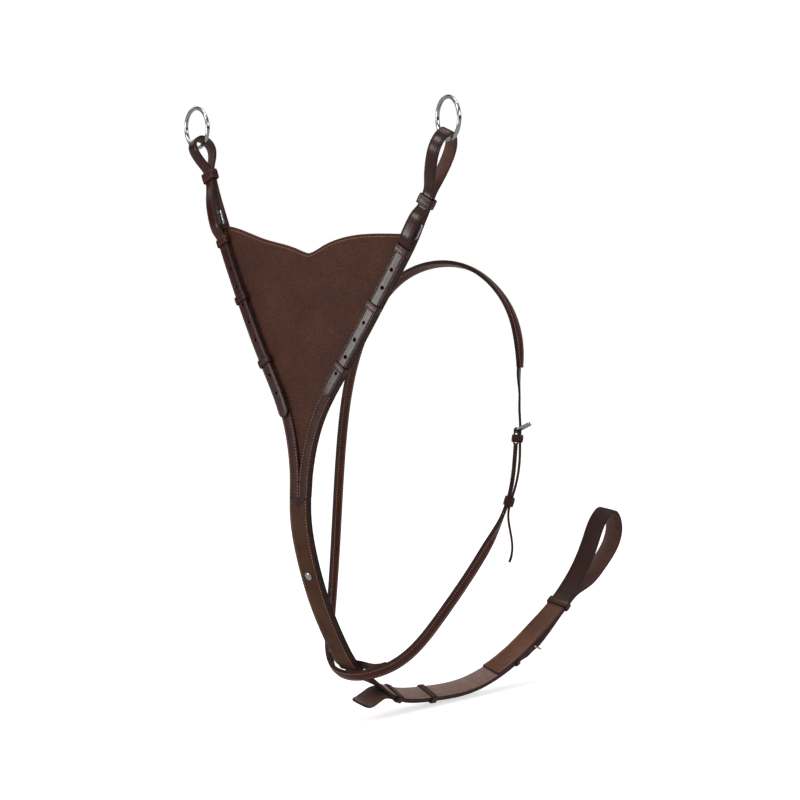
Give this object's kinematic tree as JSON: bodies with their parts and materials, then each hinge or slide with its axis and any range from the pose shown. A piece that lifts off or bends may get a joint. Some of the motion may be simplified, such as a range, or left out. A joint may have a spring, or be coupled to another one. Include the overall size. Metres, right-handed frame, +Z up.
{
  "type": "bib martingale",
  "caption": "Leather running martingale with a triangular bib between the fork straps, rein rings, a buckled neck strap and an adjustable girth loop.",
  "frame": {"origin": "chest point, where the chest strap passes through the slot of the neck strap", "axes": "+Z up, -Y to the front where the bib faces, +X to the horse's left"},
  "size_m": [0.4252, 0.5526, 0.686],
  "materials": {
    "bib_leather": "matte grained",
    "strap_leather": "polished",
    "chest_leather": "matte",
    "girth_leather": "waxed",
    "keeper_leather": "polished",
    "lining_leather": "flesh side",
    "bright_metal": "polished"
  },
  "bodies": {
    "bib_and_fork": {"bib_front": "bib_leather", "bib_lining": "lining_leather", "chest_strap": "chest_leather", "chest_core": "chest_leather", "chest_lining": "lining_leather", "chest_stud": "bright_metal", "fork_leg_left": "strap_leather", "fork_lining_left": "lining_leather", "fork_keeper_lower_left": "keeper_leather", "fork_keeper_middle_left": "keeper_leather", "fork_keeper_upper_left": "keeper_leather", "fork_buckle_chape_left": "strap_leather", "ring_strap_left": "strap_leather", "fork_leg_right": "strap_leather", "fork_lining_right": "lining_leather", "fork_keeper_lower_right": "keeper_leather", "fork_keeper_middle_right": "keeper_leather", "fork_keeper_upper_right": "keeper_leather", "fork_buckle_chape_right": "strap_leather", "ring_strap_right": "strap_leather"},
    "neck_loop": {"neck_strap": "strap_leather", "neck_lining": "lining_leather", "neck_billet": "strap_leather", "neck_slot_loop": "lining_leather", "neck_keeper": "keeper_leather", "neck_buckle_chape": "strap_leather"},
    "girth_piece": {"girth_strap": "girth_leather", "girth_loop_strap": "girth_leather", "girth_buckle_chape": "girth_leather", "girth_keeper_front": "keeper_leather", "girth_keeper_rear": "keeper_leather", "girth_keeper_buckle": "keeper_leather"},
    "rein_ring_left": {"ring_left": "bright_metal"},
    "ring_runner_left_body": {"ring_runner_left": "keeper_leather"},
    "fork_frame_left": {"fork_buckle_frame_left": "bright_metal"},
    "fork_tongue_left": {"fork_buckle_tongue_left": "bright_metal"},
    "rein_ring_right": {"ring_right": "bright_metal"},
    "ring_runner_right_body": {"ring_runner_right": "keeper_leather"},
    "fork_frame_right": {"fork_buckle_frame_right": "bright_metal"},
    "fork_tongue_right": {"fork_buckle_tongue_right": "bright_metal"},
    "neck_frame": {"neck_buckle_frame": "bright_metal"},
    "neck_tongue": {"neck_buckle_tongue": "bright_metal"},
    "neck_runner_body": {"neck_runner": "keeper_leather"},
    "girth_frame": {"girth_buckle_frame": "bright_metal"},
    "girth_tongue": {"girth_buckle_tongue": "bright_metal"},
    "girth_runner_body": {"girth_runner": "keeper_leather"}
  },
  "joints": [
    {"name": "neck_strap_swing", "type": "hinge", "parent": "bib_and_fork", "child": "neck_loop", "pos_m": [0, 0, 0], "axis": [1, 0, 0], "range_deg": [-12, 12]},
    {"name": "girth_strap_swing", "type": "hinge", "parent": "bib_and_fork", "child": "girth_piece", "pos_m": [0, 0.02, -0.0133], "axis": [1, 0, 0], "range_deg": [-20, 20]},
    {"name": "ring_swing_left", "type": "hinge", "parent": "bib_and_fork", "child": "rein_ring_left", "pos_m": [0.18545, -0.05775, 0.5832], "axis": [0.9142, -0.2971, -0.2756], "range_deg": [-75, 75]},
    {"name": "ring_runner_slide_left", "type": "slide", "parent": "bib_and_fork", "child": "ring_runner_left_body", "axis": [0.3999, 0.1048, 0.9106], "range_m": [-0.002, 0.002]},
    {"name": "fork_buckle_tilt_left", "type": "hinge", "parent": "bib_and_fork", "child": "fork_frame_left", "pos_m": [0.14039, -0.06151, 0.48271], "axis": [0.8842, 0.1021, -0.4559], "range_deg": [-8, 0.5]},
    {"name": "fork_tongue_swing_left", "type": "hinge", "parent": "fork_frame_left", "child": "fork_tongue_left", "pos_m": [0.14039, -0.06151, 0.48271], "axis": [0.8842, 0.1021, -0.4559], "range_deg": [0, 2]},
    {"name": "ring_swing_right", "type": "hinge", "parent": "bib_and_fork", "child": "rein_ring_right", "pos_m": [-0.18156, -0.05052, 0.56914], "axis": [0.9436, -0.1834, 0.2756], "range_deg": [-75, 75]},
    {"name": "ring_runner_slide_right", "type": "slide", "parent": "bib_and_fork", "child": "ring_runner_right_body", "axis": [-0.3846, 0.1065, 0.9169], "range_m": [-0.002, 0.002]},
    {"name": "fork_buckle_tilt_right", "type": "hinge", "parent": "bib_and_fork", "child": "fork_frame_right", "pos_m": [-0.14039, -0.06151, 0.48271], "axis": [0.8842, -0.1021, 0.4559], "range_deg": [-8, 0.5]},
    {"name": "fork_tongue_swing_right", "type": "hinge", "parent": "fork_frame_right", "child": "fork_tongue_right", "pos_m": [-0.14039, -0.06151, 0.48271], "axis": [0.8842, -0.1021, 0.4559], "range_deg": [0, 2]},
    {"name": "neck_buckle_tilt", "type": "hinge", "parent": "neck_loop", "child": "neck_frame", "pos_m": [0.12783, 0.12735, 0.262], "axis": [-0.6526, 0.7215, -0.2312], "range_deg": [0, 5]},
    {"name": "neck_tongue_swing", "type": "hinge", "parent": "neck_frame", "child": "neck_tongue", "pos_m": [0.12783, 0.12735, 0.262], "axis": [-0.6526, 0.7215, -0.2312], "range_deg": [0, 8]},
    {"name": "neck_runner_slide", "type": "slide", "parent": "neck_loop", "child": "neck_runner_body", "axis": [0.2026, 0.2036, 0.9579], "range_m": [-0.003, 0.003]},
    {"name": "girth_buckle_tilt", "type": "hinge", "parent": "girth_piece", "child": "girth_frame", "pos_m": [-0.00055, 0.30087, -0.01385], "axis": [-0.9574, -0.1375, 0.254], "range_deg": [0, 5]},
    {"name": "girth_tongue_swing", "type": "hinge", "parent": "girth_frame", "child": "girth_tongue", "pos_m": [-0.00055, 0.30087, -0.01385], "axis": [-0.9574, -0.1375, 0.254], "range_deg": [0, 8]},
    {"name": "girth_runner_slide", "type": "slide", "parent": "girth_piece", "child": "girth_runner_body", "axis": [0, 0.8091, 0.5877], "range_m": [-0.003, 0.003]}
  ]
}
